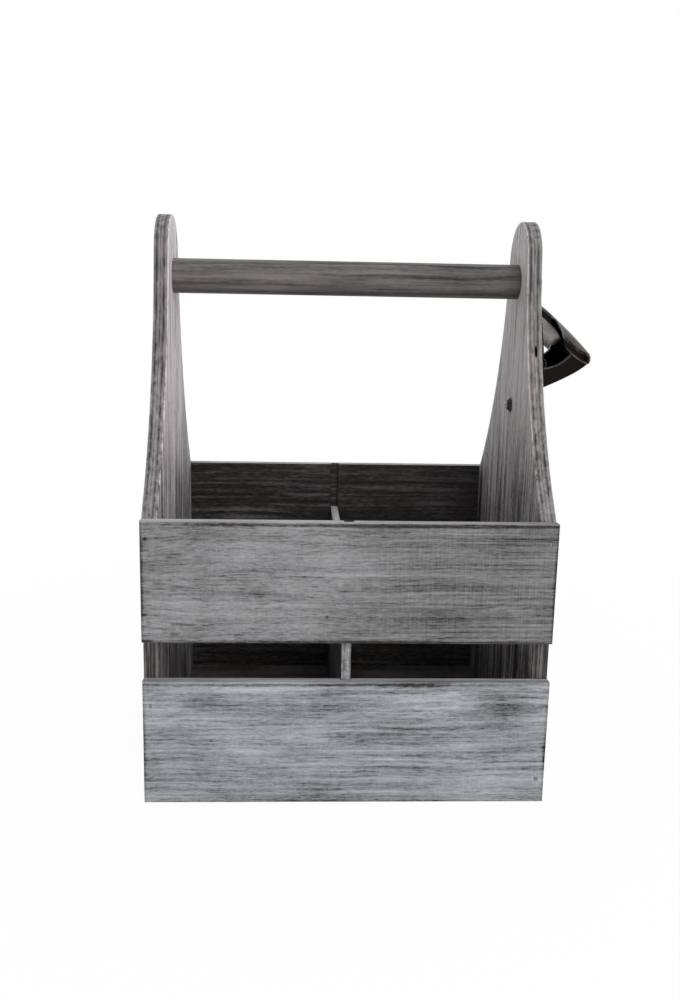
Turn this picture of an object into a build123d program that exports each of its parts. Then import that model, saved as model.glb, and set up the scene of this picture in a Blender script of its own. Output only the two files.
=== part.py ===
from build123d import *
from math import hypot, sqrt
import os

# Wooden carrying caddy with two end panels, four side slats, a lift-out divider and a cast opener.
# X runs from panel to panel (opener at +X), the front is -Y, Z points up from the ground.

# Overall sizes in millimetres
caddy_length = 190.0
caddy_depth = 160.0
caddy_height = 275.5
overrun = 1.0

# End panels of plywood
panel_thickness = 7.2
crown_radius = 20.0
flank_radius = 212.0
panel_bevel = 0.5

# Side slats of plywood
slat_thickness = 5.75
lower_slat_height = 60.5
slat_gap = 19.1
upper_slat_height = 57.1
slat_rounding = 0.5

# Base board
base_thickness = 7.0

# Divider and the grooves that hold it
divider_thickness = 4.3
divider_height = 103.0
divider_offset = -0.8
divider_rounding = 0.3
groove_depth = 3.0
groove_side_clearance = 0.2
groove_end_clearance = 0.4

# Handle dowel
handle_radius = 8.65
handle_drop = 29.9
handle_seat = 4.0
handle_clearance = 0.1

# Brads, rectangular in section, with their heads sunk into the wood
brad_length = 20.0
brad_width = 1.05
brad_depth = 1.25
brad_head_width = 1.25
brad_head_depth = 2.0
brad_head_height = 0.6
brad_sink = 0.3
lower_brad_margin = 11.8
upper_brad_margin = 9.2
base_brad_spacing = 50.0

# Wood screws
screw_radius = 1.75
screw_tip_length = 3.0
opener_screw_length = 13.0
handle_screw_length = 25.0
screw_head_radius = 3.5
screw_head_height = 2.4
screw_head_rim = 0.9
screw_head_top_radius = 2.3
countersink_height = 2.2
recess_length = 4.0
recess_width = 0.9
recess_depth = 1.3

# Cast opener: its back plate
plate_thickness = 2.6
plate_ear_radius = 6.5
plate_middle_radius = 25.5
plate_middle_drop = 42.1
plate_screw_spacing = 63.3
plate_hole_clearance = 0.35
plate_bevel = 0.8

# Cast opener: the arched hood, a tapering arch that slopes from the plate to the nose
hood_root_drop = 8.3
hood_fall = 28.2
hood_reach = 32.4
hood_bulge = 1.5
hood_wall = 5.0
hood_half_span = 26.5
arch_rise_root = 5.5
arch_rise_nose = 19.0
station_shares = (0.0, 0.25, 0.5, 0.75, 1.1)
neck_half_width = 10.2
neck_length = 9.6
shoulder_run = 2.2
shoulder_rounding = 2.0
hood_bevel = 1.0

# Cast opener: the ring that the cap goes into, its open side windows and the catch under the cap's edge
ring_radius = 24.5
ring_lip = 0.8
ring_wall = 3.0
mouth_drop = 53.2
mouth_rise = 14.7
window_length = 17.3
arm_height_root = 10.6
arm_height_tip = 10.9
catch_reach = 8.5
catch_half_width = 7.0
catch_drop = 39.1
catch_height = 6.5
catch_slope = 2.6
mouth_bevel = 0.5

# Places worked out from the sizes above
handle_height = caddy_height - handle_drop
half_length = caddy_length / 2
half_depth = caddy_depth / 2
inner_half_length = half_length - panel_thickness
inner_half_depth = half_depth - slat_thickness
upper_slat_bottom = lower_slat_height + slat_gap
shoulder_height = upper_slat_bottom + upper_slat_height
crown_centre_height = caddy_height - crown_radius
groove_width = divider_thickness + 2 * groove_side_clearance
screw_heights = (handle_height, handle_height - plate_screw_spacing)


def side_plane(side):
    """Plane on an end panel's outer face, at ground level, looking out along side * X."""
    return Plane(origin=(side * half_length, 0, 0), x_dir=(0, side, 0), z_dir=(side, 0, 0))


def brad():
    """Brad driven down from the wood's face at the origin, head first in the sink."""
    head = Pos(0, 0, -brad_sink - brad_head_height / 2) * Box(brad_head_width, brad_head_depth, brad_head_height)
    shaft_length = brad_length - brad_head_height
    shaft_middle = -brad_sink - brad_head_height - shaft_length / 2
    shaft = Pos(0, 0, shaft_middle) * Box(brad_width, brad_depth, shaft_length)
    return head + shaft


def brad_pit():
    """Pit that a sunk brad head leaves in the wood's face."""
    depth = brad_sink + overrun
    return Pos(0, 0, overrun - depth / 2) * Box(brad_head_width, brad_head_depth, depth)


def slat_brad_places(side):
    """Places of the brads of one long side, two at each end of each slat."""
    heights = (
        lower_brad_margin,
        lower_slat_height - lower_brad_margin,
        upper_slat_bottom + upper_brad_margin,
        shoulder_height - upper_brad_margin,
    )
    row = half_length - panel_thickness / 2
    return [
        Plane(origin=(x, side * half_depth, z), x_dir=(1, 0, 0), z_dir=(0, side, 0)).location
        for x in (-row, row)
        for z in heights
    ]


def base_brad_places(side):
    """Places of the brads that go through an end panel into the base board's edge."""
    face = side_plane(side)
    steps = (-base_brad_spacing, 0, base_brad_spacing)
    return [face.location * Pos(step, base_thickness / 2, 0) for step in steps]


def shank(length):
    """Screw shank below the seat at the origin, ending in a cone."""
    straight = length - screw_tip_length
    body = Pos(0, 0, -straight / 2) * Cylinder(screw_radius, straight)
    tip = Pos(0, 0, -straight - screw_tip_length / 2) * Cone(0, screw_radius, screw_tip_length)
    return body + tip


def cross_recess(top):
    """Cross recess of a screw head whose top is at the given height."""
    bar = Pos(0, 0, top - recess_depth / 2) * Box(recess_length, recess_width, recess_depth)
    return bar + Rot(0, 0, 90) * bar


def raised_head_screw():
    """Screw with a raised head that seats on the opener's plate."""
    crown_height = screw_head_height - screw_head_rim
    rim = Pos(0, 0, screw_head_rim / 2) * Cylinder(screw_head_radius, screw_head_rim)
    crown_middle = Pos(0, 0, screw_head_rim + crown_height / 2)
    crown = crown_middle * Cone(screw_head_radius, screw_head_top_radius, crown_height)
    return rim + crown - cross_recess(screw_head_height) + shank(opener_screw_length)


def flat_head():
    """Countersunk head with its top flush at the origin."""
    return Pos(0, 0, -countersink_height / 2) * Cone(screw_radius, screw_head_radius, countersink_height)


def opener_screw_places():
    """Seats of the opener's two screws on its plate."""
    face = side_plane(1)
    return [face.location * Pos(0, height, plate_thickness) for height in screw_heights]


handle_screw_place = side_plane(-1).location * Pos(0, handle_height, 0)


def flank_centre():
    """Centre of a hollow flank that starts at the slats' top corner and runs smoothly into the crown."""
    rise = crown_centre_height - shoulder_height
    span = hypot(inner_half_depth, rise)
    across, up = -inner_half_depth / span, rise / span
    both_radii = flank_radius + crown_radius
    along = (flank_radius**2 - both_radii**2 + span**2) / (2 * span)
    off = sqrt(flank_radius**2 - along**2)
    return inner_half_depth + along * across + off * up, shoulder_height + along * up - off * across


def panel_outline():
    """End panel seen along X: straight sides, hollow flanks and a round crown."""
    centre_y, centre_z = flank_centre()
    crown_share = crown_radius / (crown_radius + flank_radius)
    join_y = centre_y * crown_share
    join_z = crown_centre_height + (centre_z - crown_centre_height) * crown_share
    bottom = Line((-inner_half_depth, 0), (inner_half_depth, 0))
    right_side = Line((inner_half_depth, 0), (inner_half_depth, shoulder_height))
    right_flank = RadiusArc((inner_half_depth, shoulder_height), (join_y, join_z), flank_radius)
    crown = ThreePointArc((join_y, join_z), (0, caddy_height), (-join_y, join_z))
    left_flank = RadiusArc((-join_y, join_z), (-inner_half_depth, shoulder_height), flank_radius)
    left_side = Line((-inner_half_depth, shoulder_height), (-inner_half_depth, 0))
    return make_face(bottom + right_side + right_flank + crown + left_flank + left_side)


def end_panel(side, screws):
    """End panel with the dowel's blind hole and the holes that its screws and brads fill."""
    face = side_plane(side)
    board = extrude(face * panel_outline(), -panel_thickness)
    arch_edges = board.edges().filter_by(GeomType.CIRCLE)
    board = chamfer(arch_edges, panel_bevel)
    seat_depth = handle_seat + overrun
    seat_middle = -panel_thickness + handle_seat - seat_depth / 2
    seat = face.location * Pos(0, handle_height, seat_middle)
    board -= seat * Cylinder(handle_radius + handle_clearance, seat_depth)
    for place in base_brad_places(side):
        board -= place * (brad() + brad_pit())
    for long_side in (-1, 1):
        for place in slat_brad_places(long_side):
            board -= place * brad()
    return board - screws


def slat(side, bottom, height):
    """Board along one long side, with the divider's groove in its inner face."""
    middle_y = side * (half_depth - slat_thickness / 2)
    board = Pos(0, middle_y, bottom + height / 2) * Box(caddy_length, slat_thickness, height)
    long_edges = board.edges().filter_by(Axis.X)
    outer_ends = board.faces().sort_by(Axis.Y)[-1 if side > 0 else 0].edges().filter_by(Axis.Z)
    board = fillet(long_edges + outer_ends, slat_rounding)
    groove_run = groove_depth + overrun
    groove_y = side * (inner_half_depth + groove_depth - groove_run / 2)
    groove = Box(groove_width, groove_run, height + 2 * overrun)
    board -= Pos(divider_offset, groove_y, bottom + height / 2) * groove
    for place in slat_brad_places(side):
        board -= place * (brad() + brad_pit())
    return board


def base_board():
    """Floor between the panels and slats."""
    floor = Pos(0, 0, base_thickness / 2) * Box(2 * inner_half_length, 2 * inner_half_depth, base_thickness)
    for side in (-1, 1):
        for place in base_brad_places(side):
            floor -= place * brad()
    return floor


def centre_divider():
    """Thin board that stands on the floor in the four grooves."""
    reach = 2 * (inner_half_depth + groove_depth - groove_end_clearance)
    middle = Pos(divider_offset, 0, base_thickness + divider_height / 2)
    board = middle * Box(divider_thickness, reach, divider_height)
    return fillet(board.faces().sort_by(Axis.Z)[-1].edges(), divider_rounding)


def handle_dowel(screws):
    """Carrying bar with its ends seated in the panels' blind holes."""
    length = 2 * (inner_half_length + handle_seat)
    bar = Pos(0, 0, handle_height) * Rot(0, 90, 0) * Cylinder(handle_radius, length)
    return bar - screws


def opener_plate():
    """Back plate: a wide middle drawn in to a screw ear above and below."""
    top, bottom = screw_heights
    discs = [
        Pos(0, top) * Circle(plate_ear_radius),
        Pos(0, top - plate_middle_drop) * Circle(plate_middle_radius),
        Pos(0, bottom) * Circle(plate_ear_radius),
    ]
    plate = extrude(make_hull([edge for disc in discs for edge in disc.edges()]), plate_thickness)
    front_edge = plate.faces().sort_by(Axis.Z)[-1].edges()
    return chamfer(front_edge, plate_bevel)


def hood_block():
    """Solid below the hood's outer face, lofted through arches that grow deeper towards the nose."""
    floor = handle_height - mouth_drop - arch_rise_nose
    sections = []
    for share in station_shares:
        bulge = 4 * hood_bulge * share * (1 - share)
        crown = handle_height - hood_root_drop - hood_fall * share + bulge
        rim = crown - arch_rise_root - (arch_rise_nose - arch_rise_root) * share
        arch = ThreePointArc((-hood_half_span, rim), (0, crown), (hood_half_span, rim))
        left = Line((-hood_half_span, floor), (-hood_half_span, rim))
        right = Line((hood_half_span, rim), (hood_half_span, floor))
        closing = Line((hood_half_span, floor), (-hood_half_span, floor))
        sections.append(Pos(0, 0, hood_reach * share) * make_face(left + arch + right + closing))
    return loft(sections)


def plan_prism(outline):
    """Upright prism through the whole opener from an outline seen from above."""
    return extrude(Plane.XZ * outline, -2 * handle_height)


def side_prism(outline, half_width):
    """Prism across the opener from an outline of (height, outwards) points."""
    return extrude(Plane.YZ * outline, half_width, both=True)


def horseshoe(radius):
    """Plan of the ring: straight arms from the panel and a round nose."""
    centre = hood_reach - ring_radius
    left = Line((-radius, 0), (-radius, centre))
    nose = ThreePointArc((-radius, centre), (0, centre + radius), (radius, centre))
    right = Line((radius, centre), (radius, 0))
    return make_face(left + nose + right + Line((radius, 0), (-radius, 0)))


def hood_plan():
    """Plan of the hood: the ring's round nose, with a narrower neck towards the plate."""
    neck_end = neck_length + shoulder_run
    plan = horseshoe(ring_radius)
    for side in (-1, 1):
        notch = Polyline(
            (side * neck_half_width, -overrun),
            (side * neck_half_width, neck_length),
            (side * ring_radius, neck_end),
            (side * (ring_radius + overrun), neck_end),
            (side * (ring_radius + overrun), -overrun),
            close=True,
        )
        plan -= make_face(notch)
    inner = [v for v in plan.vertices() if abs(v.Y - neck_length) < neck_length / 2 and v.Y > 0]
    return fillet(inner, shoulder_rounding)


def bottle_opener():
    """Cast opener: plate, arched hood on a neck, horseshoe ring with side windows, and the catch."""
    mouth_root = handle_height - mouth_drop
    mouth_slope = mouth_rise / hood_reach
    arm_top = mouth_root + arm_height_root
    corner = mouth_root + mouth_slope * window_length + arm_height_tip
    mouth_far = (mouth_root + mouth_slope * 2 * hood_reach, 2 * hood_reach)
    below_mouth = make_face(Polyline((mouth_root, 0), mouth_far, (0, 2 * hood_reach), (0, 0), close=True))
    arm_curve = TangentArc((arm_top, 0), (corner, window_length), tangent=(0, 1))
    above_arms = Polyline((corner, window_length), (2 * corner, window_length), (2 * corner, 0), (arm_top, 0))
    arm_end = (mouth_root + mouth_slope * window_length, window_length)
    arm_sides = Polyline((corner, window_length), arm_end, (mouth_root, 0), (arm_top, 0))

    whole_width = hood_half_span + overrun
    skirt_plan = horseshoe(ring_radius - ring_lip) - horseshoe(ring_radius - ring_lip - ring_wall)
    window = side_prism(make_face(arm_curve + above_arms), whole_width)
    hood = hood_block()
    shell = (hood - Pos(0, -hood_wall, 0) * hood) & plan_prism(hood_plan())
    skirt = (Pos(0, -hood_wall / 2, 0) * hood) & plan_prism(skirt_plan)
    skirt -= window
    arms = side_prism(make_face(arm_curve + arm_sides), whole_width) & plan_prism(skirt_plan)

    catch_top = handle_height - catch_drop
    catch_bottom = catch_top - catch_height
    catch_side = Polyline(
        (catch_bottom, 0),
        (catch_bottom + catch_slope, catch_reach),
        (catch_top, catch_reach),
        (catch_top, 0),
        close=True,
    )
    catch = side_prism(make_face(catch_side), catch_half_width)
    guard = shell + skirt + arms - side_prism(below_mouth, whole_width)
    roof = guard.faces().filter_by(GeomType.BSPLINE).sort_by(Axis.Y)[-1]
    guard = chamfer([edge for edge in roof.edges() if edge.center().Z > plate_thickness], hood_bevel)
    sole = guard.faces().filter_by(GeomType.PLANE).sort_by(lambda face: face.normal_at().Y)[0]
    lead_in = sole.edges().filter_by(GeomType.ELLIPSE).sort_by(SortBy.LENGTH)[-1]
    guard = chamfer(lead_in, mouth_bevel)
    opener = opener_plate() + catch + guard
    for height in screw_heights:
        hole = Pos(0, height, plate_thickness / 2)
        opener -= hole * Cylinder(screw_radius + plate_hole_clearance, plate_thickness + 2 * overrun)
    return side_plane(1).location * opener


opener_screws = [place * raised_head_screw() for place in opener_screw_places()]
handle_screw = handle_screw_place * (flat_head() + shank(handle_screw_length))
front_brads = [place * brad() for place in slat_brad_places(-1)]
back_brads = [place * brad() for place in slat_brad_places(1)]
base_brads = [place * brad() for side in (-1, 1) for place in base_brad_places(side)]

nodes = {
    "left_end_panel": end_panel(-1, handle_screw),
    "right_end_panel": end_panel(1, opener_screws),
    "front_upper_slat": slat(-1, upper_slat_bottom, upper_slat_height),
    "front_lower_slat": slat(-1, 0, lower_slat_height),
    "back_upper_slat": slat(1, upper_slat_bottom, upper_slat_height),
    "back_lower_slat": slat(1, 0, lower_slat_height),
    "base_board": base_board(),
    "centre_divider": centre_divider(),
    "handle_dowel": handle_dowel([handle_screw, *opener_screws]),
    "bottle_opener": bottle_opener(),
    "opener_screws": Compound(children=opener_screws),
    "handle_screw": handle_screw,
    "front_brads": Compound(children=front_brads),
    "back_brads": Compound(children=back_brads),
    "base_brads": Compound(children=base_brads),
}

os.makedirs("parts", exist_ok=True)
for name, solid in nodes.items():
    export_step(solid, f"parts/{name}.step")
    print(name, round(solid.volume, 1), solid.bounding_box())
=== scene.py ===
import bmesh
import bpy
from math import cos, pi, radians, sin
from mathutils import Matrix, Vector


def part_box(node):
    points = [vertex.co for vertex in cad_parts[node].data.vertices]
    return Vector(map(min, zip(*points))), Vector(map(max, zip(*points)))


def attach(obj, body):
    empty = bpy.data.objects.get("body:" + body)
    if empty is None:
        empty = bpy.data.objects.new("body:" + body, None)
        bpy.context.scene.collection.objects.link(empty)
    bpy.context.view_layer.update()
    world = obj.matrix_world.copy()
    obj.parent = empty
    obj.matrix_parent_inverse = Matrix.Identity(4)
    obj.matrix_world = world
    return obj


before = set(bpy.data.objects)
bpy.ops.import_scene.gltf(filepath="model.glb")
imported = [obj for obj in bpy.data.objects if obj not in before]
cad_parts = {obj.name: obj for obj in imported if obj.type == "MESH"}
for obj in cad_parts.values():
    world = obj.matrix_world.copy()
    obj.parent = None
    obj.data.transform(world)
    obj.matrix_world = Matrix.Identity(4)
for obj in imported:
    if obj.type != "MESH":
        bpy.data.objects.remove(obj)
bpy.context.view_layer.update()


def linear(colour):
    """An sRGB hex colour as linear light."""
    shares = [int(colour[i:i + 2], 16) / 255 for i in (1, 3, 5)]
    return [s / 12.92 if s <= 0.04045 else ((s + 0.055) / 1.055) ** 2.4 for s in shares] + [1.0]


def add(tree, kind, inputs=None, **settings):
    """Adds a node with its settings. Each input is a value or another node's output."""
    made = tree.nodes.new(kind)
    for name, value in settings.items():
        setattr(made, name, value)
    for socket, value in (inputs or {}).items():
        if isinstance(value, bpy.types.NodeSocket):
            tree.links.new(value, made.inputs[socket])
        else:
            made.inputs[socket].default_value = value
    return made


def new_finish(name):
    """An empty material with its tree, its shader and the surface's own place."""
    material = bpy.data.materials.new(name)
    material.use_nodes = True
    tree = material.node_tree
    shader = tree.nodes["Principled BSDF"]
    surface = add(tree, "ShaderNodeTexCoord")
    return material, tree, shader, surface


def strokes(tree, place, length, width, seed, detail=2.0):
    """Soft dashes along the grain, length by width in mm, as values around a half."""
    size = (1000 / length, 1000 / width, 1000 / width)
    drawn = add(tree, "ShaderNodeMapping", {"Vector": place, "Location": (seed, seed, seed), "Scale": size})
    noise = add(tree, "ShaderNodeTexNoise", {"Vector": drawn.outputs[0], "Scale": 1.0, "Detail": detail})
    return noise.outputs[0]


def patch(tree, place, centre, half_size):
    """A soft spot, 1 at its centre and 0 outside its half size, both in mm."""
    middle = [c / 1000 for c in centre]
    reach = [h / 1000 for h in half_size]
    moved = add(tree, "ShaderNodeVectorMath", {0: place, 1: middle}, operation="SUBTRACT")
    scaled = add(tree, "ShaderNodeVectorMath", {0: moved.outputs[0], 1: reach}, operation="DIVIDE")
    away = add(tree, "ShaderNodeVectorMath", {0: scaled.outputs[0]}, operation="LENGTH")
    limits = {"Value": away.outputs["Value"], "From Min": 1.0, "From Max": 0.0}
    return add(tree, "ShaderNodeMapRange", limits, interpolation_type="SMOOTHSTEP").outputs[0]


def layered(tree, base, *layers):
    """A base value plus each layer's value times its weight, which are numbers or nodes' outputs."""
    total = base
    for value, weight in layers:
        terms = {0: value, 1: weight, 2: total}
        total = add(tree, "ShaderNodeMath", terms, operation="MULTIPLY_ADD").outputs[0]
    return total


def worn_rim(tree, surface, width, flat, sharp):
    """The normal rounded over width mm at an edge, and the edge's wear from 0 to 1.

    Wear begins where the cosine between the two normals is flat, and it is full at sharp.
    """
    rounded = add(tree, "ShaderNodeBevel", {"Radius": width / 1000}, samples=6).outputs[0]
    pair = {0: rounded, 1: surface.outputs["Normal"]}
    turn = add(tree, "ShaderNodeVectorMath", pair, operation="DOT_PRODUCT")
    limits = {"Value": turn.outputs["Value"], "From Min": flat, "From Max": sharp}
    return rounded, add(tree, "ShaderNodeMapRange", limits).outputs[0]


def coat(tree, shader, colour, rough, relief):
    """Joins a finish's colour, roughness and relief to its shader."""
    tree.links.new(colour.outputs[2], shader.inputs["Base Color"])
    tree.links.new(rough.outputs[0], shader.inputs["Roughness"])
    tree.links.new(relief.outputs[0], shader.inputs["Normal"])


def seen_itself(tree):
    """1 for what is seen directly, mirrored or through glass, and 0 for what only lights the caddy."""
    rays = add(tree, "ShaderNodeLightPath")
    pair = {0: rays.outputs["Is Camera Ray"], 1: rays.outputs["Is Glossy Ray"]}
    seen = add(tree, "ShaderNodeMath", pair, operation="MAXIMUM")
    pair = {0: seen.outputs[0], 1: rays.outputs["Is Transmission Ray"]}
    return add(tree, "ShaderNodeMath", pair, operation="MAXIMUM").outputs[0]


def ply_lines(tree, across, start, ply, wobble):
    """Dark glue lines, and every other ply darker, from the distance across the board and one ply in mm."""
    depth = layered(tree, -start, (across, 1000.0), (wobble, 0.7))
    near = add(tree, "ShaderNodeMath", {0: depth, 1: ply / 2}, operation="PINGPONG")
    limits = {"Value": near.outputs[0], "From Min": 0.5, "From Max": 0.1}
    glue = add(tree, "ShaderNodeMapRange", limits, interpolation_type="SMOOTHSTEP").outputs[0]
    turn = add(tree, "ShaderNodeMath", {0: depth, 1: ply}, operation="PINGPONG")
    limits = {"Value": turn.outputs[0], "From Min": ply * 0.35, "From Max": ply * 0.65}
    crossed = add(tree, "ShaderNodeMapRange", limits, interpolation_type="SMOOTHSTEP").outputs[0]
    return layered(tree, 0.0, (glue, 0.7), (crossed, 0.45))


WASH = "#C3C3C6"
STAIN = ("#0A0909", "#3C3835")


def along_grain(tree, spot, grain, seed):
    """The place turned so that the grain runs along X, wandering a little to both sides."""
    wander = 0.004
    straight = add(tree, "ShaderNodeMapping", {"Vector": spot, "Rotation": grain}).outputs[0]
    flow = layered(tree, -wander / 2, (strokes(tree, straight, 55, 22, seed + 23, 1.0), wander))
    drift = add(tree, "ShaderNodeCombineXYZ", {1: flow, 2: flow}).outputs[0]
    return add(tree, "ShaderNodeVectorMath", {0: straight, 1: drift}, operation="ADD").outputs[0]


def board_sides(tree, normal):
    """Where a board's lower face, upper face and edges are, from the normal's part through the board."""
    low = add(tree, "ShaderNodeMapRange", {"Value": normal, "From Min": -0.45, "From Max": -0.75}).outputs[0]
    high = add(tree, "ShaderNodeMapRange", {"Value": normal, "From Min": 0.45, "From Max": 0.75}).outputs[0]
    return low, high, layered(tree, 1.0, (low, -1.0), (high, -1.0))


def brushed_grain(tree, laid, seed, stretch, streak, edge_side):
    """The grain's dashes, the brush strokes, and how the wash gathers over both, around zero."""
    cloud = strokes(tree, laid, 38, 15, seed, 3.0)
    brush = strokes(tree, laid, 90, 2.1 * stretch, seed + 3, 3.0)
    dash = strokes(tree, laid, 3.8, 0.8 * stretch, seed + 7, 3.0)
    fleck = strokes(tree, laid, 1.4, 0.75 * stretch, seed + 5, 1.0)
    # Real pores are about 0.15 mm wide. They are drawn 0.6 mm wide, because finer ones don't show.
    pore = strokes(tree, laid, 6, 0.6 * stretch, seed + 9, 1.0)
    scratch = strokes(tree, laid, 24, 0.75 * stretch, seed + 13, 2.0)
    cross = strokes(tree, laid, 0.75, 9, seed + 11, 1.0)
    limits = {"Value": pore, "From Min": 0.43, "From Max": 0.3}
    pores = add(tree, "ShaderNodeMapRange", limits).outputs[0]
    limits = {"Value": scratch, "From Min": 0.4, "From Max": 0.3}
    scratches = add(tree, "ShaderNodeMapRange", limits).outputs[0]
    # The fixed parts of fine and broad bring each back to about zero.
    fine = layered(tree, -1.6, (dash, 1.7), (fleck, 1.1), (cross, 0.45), (pores, -0.75))
    shown = layered(tree, 0.8, (edge_side, -0.5))
    broad = layered(tree, -0.83 - streak / 2, (cloud, 1.9), (brush, streak), (scratches, -0.55))
    return dash, brush, layered(tree, broad, (fine, shown))


def saw_marks(tree, laid, seed, texture, along, begin, full):
    """The texture with saw marks laid over it from one place in mm on, and fully from another."""
    bands = strokes(tree, laid, 60, 0.9, seed + 17, 2.0)
    weave = strokes(tree, laid, 0.62, 16, seed + 19, 1.0)
    limits = {"Value": along, "From Min": begin / 1000, "From Max": full / 1000}
    sawn = add(tree, "ShaderNodeMapRange", limits, interpolation_type="SMOOTHSTEP").outputs[0]
    flat = layered(tree, -1.95, (bands, 2.0), (weave, 0.8), (texture, -0.4))
    return layered(tree, texture, (flat, sawn))


def soaked_stain(tree, wash_cover, dash, brush):
    """The stain's colour, which varies with the dashes and the brush strokes and darkens further where the
    wash is thinnest, down to the painted shade of a void.
    """
    bare = add(tree, "ShaderNodeMath", {0: wash_cover, 1: 0.0}, operation="MINIMUM").outputs[0]
    level = layered(tree, 0.0, (dash, 0.5), (brush, 0.5), (bare, 0.2))
    limits = {"Value": level, "From Min": 0.4, "From Max": 0.6}
    soaked = add(tree, "ShaderNodeMapRange", limits).outputs[0]
    dark, light = (linear(shade) for shade in STAIN)
    return add(tree, "ShaderNodeMix", {0: soaked, 6: dark, 7: light}, data_type="RGBA").outputs[2]


def greywashed_ply(
    name, grain, seed, face, ply, cover, wash=WASH, stretch=1.0, streak=1.6, marks=(), saw=None, fade=None
):
    """Plywood stained black-brown, then brushed thinly with pale grey wash along the grain.

    The eye sees pale grey over dark pores, with the stain bare in dashes, saw marks and at the edges.
    grain turns the board's grain onto X. face is the axis through the board, ply its start and one ply
    in mm, and cover is the wash on its lower face, its upper face and its edges. marks are bare spots,
    thick spots and spots of painted shade, saw is the stretch along X where saw marks begin, and fade
    paints shade on the paler face, darkening it from one height down to another.
    """
    material, tree, shader, surface = new_finish(name)
    spot = surface.outputs["Object"]
    laid = along_grain(tree, spot, grain, seed)
    axes = add(tree, "ShaderNodeSeparateXYZ", {0: spot})
    normal = add(tree, "ShaderNodeSeparateXYZ", {0: surface.outputs["Normal"]}).outputs[face]
    low, high, edge_side = board_sides(tree, normal)
    dash, brush, texture = brushed_grain(tree, laid, seed, stretch, streak, edge_side)
    lines = ply_lines(tree, axes.outputs[face], ply[0], ply[1], brush)
    line = add(tree, "ShaderNodeMath", {0: lines, 1: edge_side}, operation="MULTIPLY").outputs[0]
    rim = worn_rim(tree, surface, 1.1, 0.995, 0.86)[1]
    if saw:
        texture = saw_marks(tree, laid, seed, texture, axes.outputs[0], *saw)

    start = layered(tree, cover[2], (low, cover[0] - cover[2]), (high, cover[1] - cover[2]))
    depth = layered(tree, 0.1, (start, 0.56), (edge_side, -0.12))
    placed = [(patch(tree, spot, centre, half_size), weight) for centre, half_size, weight in marks]
    # fade is painted shade: the paler inner face is darkened from one height downwards.
    if fade:
        limits = {"Value": axes.outputs[2], "From Min": fade[0] / 1000, "From Max": fade[1] / 1000}
        lower = add(tree, "ShaderNodeMapRange", limits, interpolation_type="SMOOTHSTEP").outputs[0]
        inside = high if cover[1] > cover[0] else low
        painted_shade_and_worn_bump = add(tree, "ShaderNodeMath", {0: lower, 1: inside}, operation="MULTIPLY").outputs[0]
        placed.append((painted_shade_and_worn_bump, fade[2]))
    base = layered(tree, start, (line, -0.22), (rim, -0.12), *placed)
    wash_cover = layered(tree, base, (texture, depth))
    thickest = 0.95
    cover_share = add(tree, "ShaderNodeClamp", {0: wash_cover, 1: 0.0, 2: thickest}).outputs[0]

    tones = {0: cover_share, 6: soaked_stain(tree, wash_cover, dash, brush), 7: linear(wash)}
    colour = add(tree, "ShaderNodeMix", tones, data_type="RGBA")
    rough = add(tree, "ShaderNodeMapRange", {"Value": cover_share, "To Min": 0.58, "To Max": 0.85})
    # Where the wash is thinnest, as in the painted void, nothing is mirrored.
    limits = {"Value": wash_cover, "From Min": -0.8, "From Max": -0.15, "To Min": 0.0, "To Max": 0.5}
    gloss = add(tree, "ShaderNodeMapRange", limits)
    tree.links.new(gloss.outputs[0], shader.inputs["Specular IOR Level"])
    bump = add(tree, "ShaderNodeBump", {"Strength": 0.5, "Distance": 0.0005, "Height": cover_share})
    coat(tree, shader, colour, rough, bump)
    return material


def antiqued_cast_iron():
    """Cast iron, plated and darkened, brown-black, with its colour painted by how each face is turned.

    Upright walls are darkest as painted shade, and sloping faces are paler grey bronze, most where they face
    down, as a painted reflection of the white floor. The eye sees a fine sand-cast grain with soft broad
    highlights and paler edges, which are partly wear and partly a painted highlight.
    """
    material, tree, shader, surface = new_finish("antiqued_cast_iron")
    spot = surface.outputs["Object"]
    # Moulding sand leaves grains of about 0.3 mm. They are drawn 0.9 mm wide, because finer ones don't show.
    grit = strokes(tree, spot, 0.9, 0.9, 4, 2.0)
    cloud = strokes(tree, spot, 9, 9, 8, 3.0)
    rounded, rim = worn_rim(tree, surface, 1.2, 0.99, 0.8)
    # The colour is painted light by how each face is turned: darkest on upright walls as painted shade, paler
    # where faces slope and most where they face down, as a painted reflection of the floor. The paler rims
    # are partly wear and partly a painted highlight.
    rise = add(tree, "ShaderNodeSeparateXYZ", {0: surface.outputs["Normal"]}).outputs[2]
    slope = add(tree, "ShaderNodeMath", {0: rise}, operation="ABSOLUTE").outputs[0]
    wear_and_painted_light = layered(tree, -0.57, (cloud, 0.5), (grit, 0.4), (rim, 0.4), (slope, 0.7), (rise, -0.18))
    share = add(tree, "ShaderNodeClamp", {0: wear_and_painted_light}).outputs[0]
    tones = {0: share, 6: linear("#1E1A18"), 7: linear("#CFCBC9")}
    colour = add(tree, "ShaderNodeMix", tones, data_type="RGBA")
    rough = add(tree, "ShaderNodeMapRange", {"Value": grit, "To Min": 0.12, "To Max": 0.34})
    shader.inputs["Metallic"].default_value = 1.0
    shader.inputs["Specular Tint"].default_value = linear("#B4B0AE")
    painted_shade_and_worn_bump = {"Strength": 0.35, "Distance": 0.0002, "Height": grit, "Normal": rounded}
    coat(tree, shader, colour, rough, add(tree, "ShaderNodeBump", painted_shade_and_worn_bump))
    return material


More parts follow.
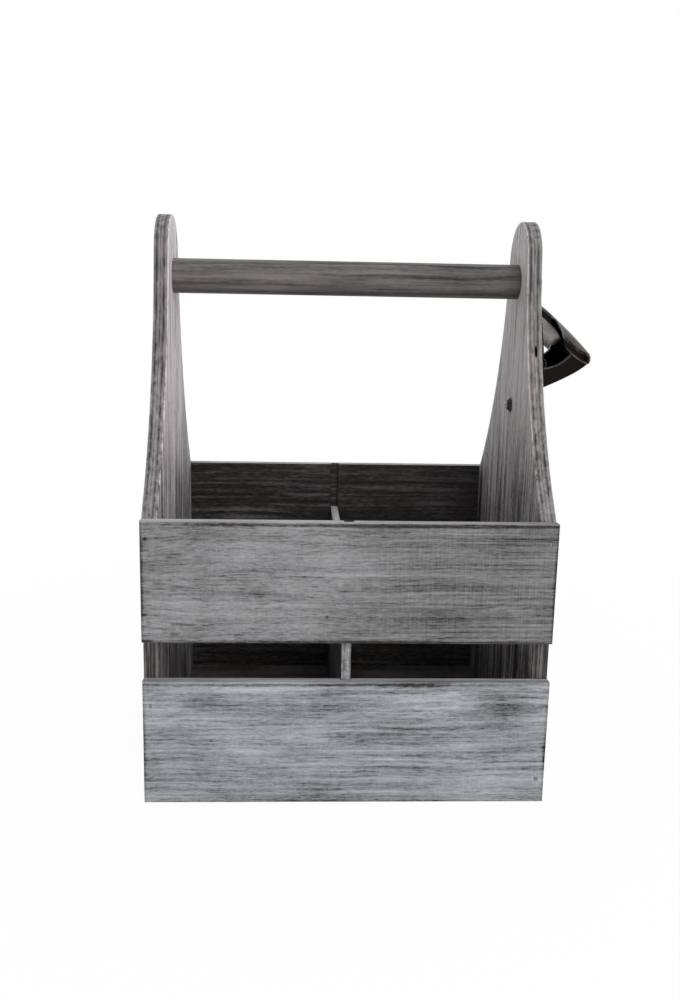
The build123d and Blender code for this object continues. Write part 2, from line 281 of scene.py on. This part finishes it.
def drawn_steel(name, bright, dull):
    """Drawn and pressed steel of the screws, bright in places and dull where it has oxidised."""
    material, tree, shader, surface = new_finish(name)
    spot = surface.outputs["Object"]
    stain = strokes(tree, spot, 2.2, 2.2, 6, 3.0)
    tones = {0: stain, 6: linear(bright), 7: linear(dull)}
    colour = add(tree, "ShaderNodeMix", tones, data_type="RGBA")
    rough = add(tree, "ShaderNodeMapRange", {"Value": stain, "To Min": 0.25, "To Max": 0.5})
    shader.inputs["Metallic"].default_value = 1.0
    bump = add(tree, "ShaderNodeBump", {"Strength": 0.3, "Distance": 0.0001, "Height": stain})
    coat(tree, shader, colour, rough, bump)
    return material


def washed_brad_heads():
    """Brad heads sunk in the wood and brushed over with the wash, so the eye hardly finds them."""
    material, tree, shader, surface = new_finish("washed_brad_heads")
    brushed = strokes(tree, surface.outputs["Object"], 2.0, 0.5, 5, 2.0)
    tones = {0: brushed, 6: linear("#4E4D4D"), 7: linear("#A2A2A4")}
    colour = add(tree, "ShaderNodeMix", tones, data_type="RGBA")
    rough = add(tree, "ShaderNodeMapRange", {"Value": brushed, "To Min": 0.55, "To Max": 0.8})
    bump = add(tree, "ShaderNodeBump", {"Strength": 0.4, "Distance": 0.0002, "Height": brushed})
    coat(tree, shader, colour, rough, bump)
    return material


def dress(node, material):
    """Gives a CAD node's object its finish."""
    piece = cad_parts[node]
    for place in piece.material_slots:
        place.material = material
    if not piece.material_slots:
        piece.data.materials.append(material)


ALONG = (0, 0, 0)
UPRIGHT = (0, pi / 2, 0)
DEEP = (0, 0, pi / 2)

# The slats are paler outside than inside. The panels are palest high up inside, and they are painted darker
# downwards there as painted shade.
# Marks are places, half sizes in mm and how much thicker the wash is there, or thinner where negative. On the
# panels some negative marks are painted shade instead.
dress("front_upper_slat", greywashed_ply(
    "greywashed_ply_upper_front", ALONG, 2, 1, (-80.0, 1.92), (0.38, 0.03, 0.66),
    marks=[
        ((-66, -80, 108), (10, 9, 34), -0.1),
        ((-25, -80, 118), (60, 9, 12), 0.02),
        ((-92.5, -80, 128.5), (1.6, 9, 1.4), -0.4),
        ((-95, -80, 126), (5, 9, 4), -0.2),
        ((-95, -80, 97), (4, 9, 7), -0.2),
        ((-10.3, -80, 92.5), (0.9, 9, 0.9), -0.4),
        ((-95, -80, 108), (2.0, 9, 44), -0.45),
        ((95, -80, 108), (1.9, 9, 44), -0.45),
        ((0, -80, 135.4), (150, 5, 1.3), -0.5),
        ((0, -80, 80.1), (150, 9, 1.7), -0.4),
        ((-92.5, -80, 80.4), (5, 9, 1.2), -0.5),
        ((-93.5, -80, 93), (2.5, 9, 1), -0.5),
    ],
    saw=(-20, 40),
))
dress("front_lower_slat", greywashed_ply(
    "greywashed_ply_lower_front", ALONG, 12, 1, (-80.0, 1.92), (0.51, 0.03, 0.5), wash="#C0C4C9", streak=3.4,
    marks=[
        ((-68, -80, 53), (14, 9, 12), -0.18),
        ((-6, -80, 55), (16, 9, 10), -0.16),
        ((38, -80, 27), (20, 9, 8), -0.2),
        ((78, -80, 46), (24, 9, 16), -0.26),
        ((95, -80, 25), (3, 9, 3), -0.3),
        ((30, -80, 45), (60, 9, 6), 0.06),
        ((-95, -80, 30), (2.0, 9, 46), -0.45),
        ((95, -80, 30), (1.9, 9, 46), -0.45),
        ((0, -80, 59.2), (150, 5, 1.3), -0.45),
        ((0, -80, 0.6), (150, 9, 1.9), -0.5),
        ((94.3, -80, 28), (1.9, 9, 1.2), -0.8),
        ((94.3, -80, 22), (1.0, 9, 3), -0.7),
        ((90.5, -80, 12), (0.9, 9, 1.7), -0.6),
    ],
))
dress("back_upper_slat", greywashed_ply(
    "greywashed_ply_upper_back", ALONG, 22, 1, (74.25, 1.92), (0.0, 0.42, 0.58), streak=3.6,
))
dress("back_lower_slat", greywashed_ply(
    "greywashed_ply_lower_back", ALONG, 32, 1, (74.25, 1.92), (0.0, 0.5, 0.5), wash="#BEC2C7",
))
dress("left_end_panel", greywashed_ply(
    "greywashed_ply_left_panel", UPRIGHT, 42, 0, (-95.0, 1.8), (0.45, 0.9, 0.3), wash="#DDD6D8", streak=4.0,
    # This mark is painted shade on the panel's front edge where it shows between the slats.
    marks=[((-91, -74, 70), (9, 9, 22), -0.2)],
    fade=(210, 110, -0.7),
))
dress("right_end_panel", greywashed_ply(
    "greywashed_ply_right_panel", UPRIGHT, 52, 0, (87.8, 1.8), (0.9, 0.45, 0.29), wash="#D6D0D1", streak=4.0,
    # The first mark is painted shade on the front edge between the slats, and the second is painted shade
    # drawn as a thin dark slit for a void in the middle ply.
    marks=[((91, -74, 70), (9, 9, 22), -0.2), ((91.9, -30, 211.9), (0.85, 40, 3.6), -3.0)],
    fade=(210, 110, -0.72),
))
dress("base_board", greywashed_ply(
    "greywashed_ply_base", ALONG, 62, 2, (0.0, 1.75), (0.1, 0.02, 0.1),
))
dress("centre_divider", greywashed_ply(
    "greywashed_ply_divider", DEEP, 72, 0, (-2.95, 1.43), (0.08, 0.08, 0.57), streak=3.0,
))
# The dowel is solid wood, so its one ply is far wider than the caddy and draws no glue line.
dress("handle_dowel", greywashed_ply(
    "greywashed_dowel", ALONG, 82, 0, (-500.0, 1000.0), (0.12, 0.12, 0.19),
    wash="#C6C0BE", stretch=1.2, streak=6.5,
))
dress("bottle_opener", antiqued_cast_iron())
screw_steel = drawn_steel("browned_screw_steel", "#8F8A84", "#3B3633")
dress("opener_screws", screw_steel)
dress("handle_screw", screw_steel)
brads_under_wash = washed_brad_heads()
for brads in ("front_brads", "back_brads", "base_brads"):
    dress(brads, brads_under_wash)


def raw_torn_ply(face):
    """Raw ply, pale at the tips that stand off the panel's face, whose X is given, and painted dark towards
    that face as painted shade at the splinters' roots.
    """
    material, tree, shader, surface = new_finish("raw_torn_ply")
    fibre = strokes(tree, surface.outputs["Object"], 0.5, 0.5, 3, 3.0)
    out = add(tree, "ShaderNodeSeparateXYZ", {0: surface.outputs["Object"]}).outputs[0]
    # Dark near the panel's face is painted shade at the roots; the pale tips are raw wood.
    dark_to, pale_from = face - 0.002, face - 0.0036
    limits = {"Value": out, "From Min": dark_to, "From Max": pale_from, "To Min": -0.2, "To Max": 0.8}
    tips = layered(tree, add(tree, "ShaderNodeMapRange", limits).outputs[0], (fibre, 0.4))
    share = add(tree, "ShaderNodeClamp", {0: tips}).outputs[0]
    tones = {0: share, 6: linear("#33302E"), 7: linear("#F4F1EC")}
    colour = add(tree, "ShaderNodeMix", tones, data_type="RGBA")
    rough = add(tree, "ShaderNodeMapRange", {"Value": fibre, "To Min": 0.7, "To Max": 0.9})
    bump = add(tree, "ShaderNodeBump", {"Strength": 0.4, "Distance": 0.0002, "Height": fibre})
    coat(tree, shader, colour, rough, bump)
    return material


def torn_fibres():
    """Splinters that the lower opener screw's tip has torn up where it comes through the panel.

    The table gives each one's turn in degrees, and its reach, width and height in mm.
    """
    head_radius, root_radius, sunk = 0.0035, 0.0016, 0.0003
    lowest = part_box("opener_screws")[0].z
    middle = Vector((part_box("right_end_panel")[0].x, 0.0, lowest + head_radius))
    mesh = bmesh.new()
    for turn, reach, width, out in (
        (96, 2.6, 1.9, 3.2), (62, 1.9, 1.6, 2.6), (132, 2.2, 2.0, 3.9), (178, 1.6, 2.2, 2.8),
        (218, 2.0, 2.0, 3.8), (262, 2.5, 1.9, 2.8), (300, 1.8, 1.6, 2.2), (12, 1.4, 2.0, 1.8),
    ):
        angle = radians(turn)
        along = Vector((0, cos(angle), sin(angle)))
        beside = Vector((0, -sin(angle), cos(angle)))
        root, rise = middle + root_radius * along, Vector((-1, 0, 0)) * out / 1000
        foot = middle + along * (root_radius + reach / 1000)
        side = beside * width / 2000
        into = Vector((sunk, 0, 0))
        corners = [
            root + rise + side * 0.5, root + rise - side * 0.5, root + rise * 0.45 - side,
            foot - side * 0.4 + into, foot + side * 0.4 + into, root + rise * 0.45 + side,
            root - side + into, root + side + into,
        ]
        verts = [mesh.verts.new(corner) for corner in corners]
        for face in ((0, 1, 3, 4), (1, 2, 6, 3), (0, 4, 7, 5), (0, 5, 2, 1), (5, 7, 6, 2), (4, 3, 6, 7)):
            mesh.faces.new([verts[i] for i in face])
    bmesh.ops.recalc_face_normals(mesh, faces=mesh.faces[:])
    shape = bpy.data.meshes.new("torn_fibres")
    mesh.to_mesh(shape)
    mesh.free()
    piece = bpy.data.objects.new("torn_fibres", shape)
    bpy.context.collection.objects.link(piece)
    shape.materials.append(raw_torn_ply(middle.x))
    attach(piece, "caddy")


def studio_floor():
    """Matt white floor, which shows its own soft shadow near the caddy and plain white further off."""
    width, just_below = 12.0, -0.0002
    shadow_reach, all_white = 0.15, 0.45
    bpy.ops.mesh.primitive_plane_add(size=width, location=(0, 0, just_below))
    floor = bpy.context.object
    floor.name = "studio_floor"
    material, tree, shader, surface = new_finish("white_studio_floor")
    shader.inputs["Base Color"].default_value = linear("#F0F0F0")
    shader.inputs["Roughness"].default_value = 0.9
    away = add(tree, "ShaderNodeVectorMath", {0: surface.outputs["Object"]}, operation="LENGTH")
    limits = {"Value": away.outputs["Value"], "From Min": shadow_reach, "From Max": all_white, "To Min": 0.96}
    plain = add(tree, "ShaderNodeMapRange", limits)
    share = add(tree, "ShaderNodeMath", {0: seen_itself(tree), 1: plain.outputs[0]}, operation="MULTIPLY")
    glow = add(tree, "ShaderNodeEmission", {"Color": (1, 1, 1, 1), "Strength": 1.0})
    mix = add(tree, "ShaderNodeMixShader", {0: share.outputs[0], 1: shader.outputs[0], 2: glow.outputs[0]})
    tree.links.new(mix.outputs[0], tree.nodes["Material Output"].inputs["Surface"])
    floor.data.materials.append(material)


def studio_light():
    """White surroundings and two soft lamps.

    On matt surfaces the surroundings' light is dim from above and from the front. The lamps aren't
    mirrored in the metal, as with polarising screens.
    """
    caddy_middle = Vector((0, 0, 0.12))
    world = bpy.data.worlds.new("white_studio")
    bpy.context.scene.world = world
    world.use_nodes = True
    tree = world.node_tree
    tree.nodes.clear()
    around = add(tree, "ShaderNodeTexCoord")
    axes = add(tree, "ShaderNodeSeparateXYZ", {0: around.outputs["Generated"]})
    limits = {"Value": axes.outputs[1], "From Min": -0.6, "From Max": 0.1, "To Min": 0.05, "To Max": 1.0}
    behind = add(tree, "ShaderNodeMapRange", limits, interpolation_type="SMOOTHSTEP")
    limits = {"Value": axes.outputs[2], "From Min": 0.2, "From Max": 0.9, "To Min": 1.0, "To Max": 0.55}
    overhead = add(tree, "ShaderNodeMapRange", limits, interpolation_type="SMOOTHSTEP")
    dim = add(tree, "ShaderNodeMath", {0: behind.outputs[0], 1: overhead.outputs[0]}, operation="MULTIPLY")
    strength = add(tree, "ShaderNodeMath", {0: dim.outputs[0], 1: seen_itself(tree)}, operation="MAXIMUM")
    sky = add(tree, "ShaderNodeBackground", {"Color": (1, 1, 1, 1), "Strength": strength.outputs[0]})
    out = add(tree, "ShaderNodeOutputWorld")
    tree.links.new(sky.outputs[0], out.inputs[0])
    for name, place, size, power in (
        ("front_softbox", (0.45, -1.05, 1.05), 0.9, 16.0),
        ("top_softbox", (0.2, -0.2, 1.35), 0.9, 2.0),
    ):
        lamp = bpy.data.lights.new(name, "AREA")
        lamp.size = size
        lamp.energy = power
        holder = bpy.data.objects.new(name, lamp)
        holder.location = place
        aim = caddy_middle - Vector(place)
        holder.rotation_euler = aim.to_track_quat("-Z", "Y").to_euler()
        holder.visible_glossy = False
        bpy.context.collection.objects.link(holder)


def photo_camera():
    """Camera at the photograph's viewing angle, worked out from the caddy's straight edges."""
    place = Vector((-0.027636, -0.498079, 0.236867))
    yaw, pitch, roll = radians(2.372), radians(11.001), radians(1.078)
    forward = Vector((sin(yaw) * cos(pitch), cos(yaw) * cos(pitch), -sin(pitch)))
    level = Vector((cos(yaw), -sin(yaw), 0))
    above = level.cross(forward)
    right = cos(roll) * level + sin(roll) * above
    up = cos(roll) * above - sin(roll) * level
    lens = bpy.data.cameras.new("photo_camera")
    lens.sensor_width = 36.0
    lens.lens = 34.434
    lens.shift_x = 0.010628
    lens.shift_y = -0.018069
    lens.clip_start = 0.01
    holder = bpy.data.objects.new("photo_camera", lens)
    turned = Matrix((right, up, -forward)).transposed().to_4x4()
    holder.matrix_world = Matrix.Translation(place) @ turned
    bpy.context.collection.objects.link(holder)
    bpy.context.scene.camera = holder


torn_fibres()
studio_floor()
studio_light()
photo_camera()
bpy.context.scene.view_settings.view_transform = "Standard"
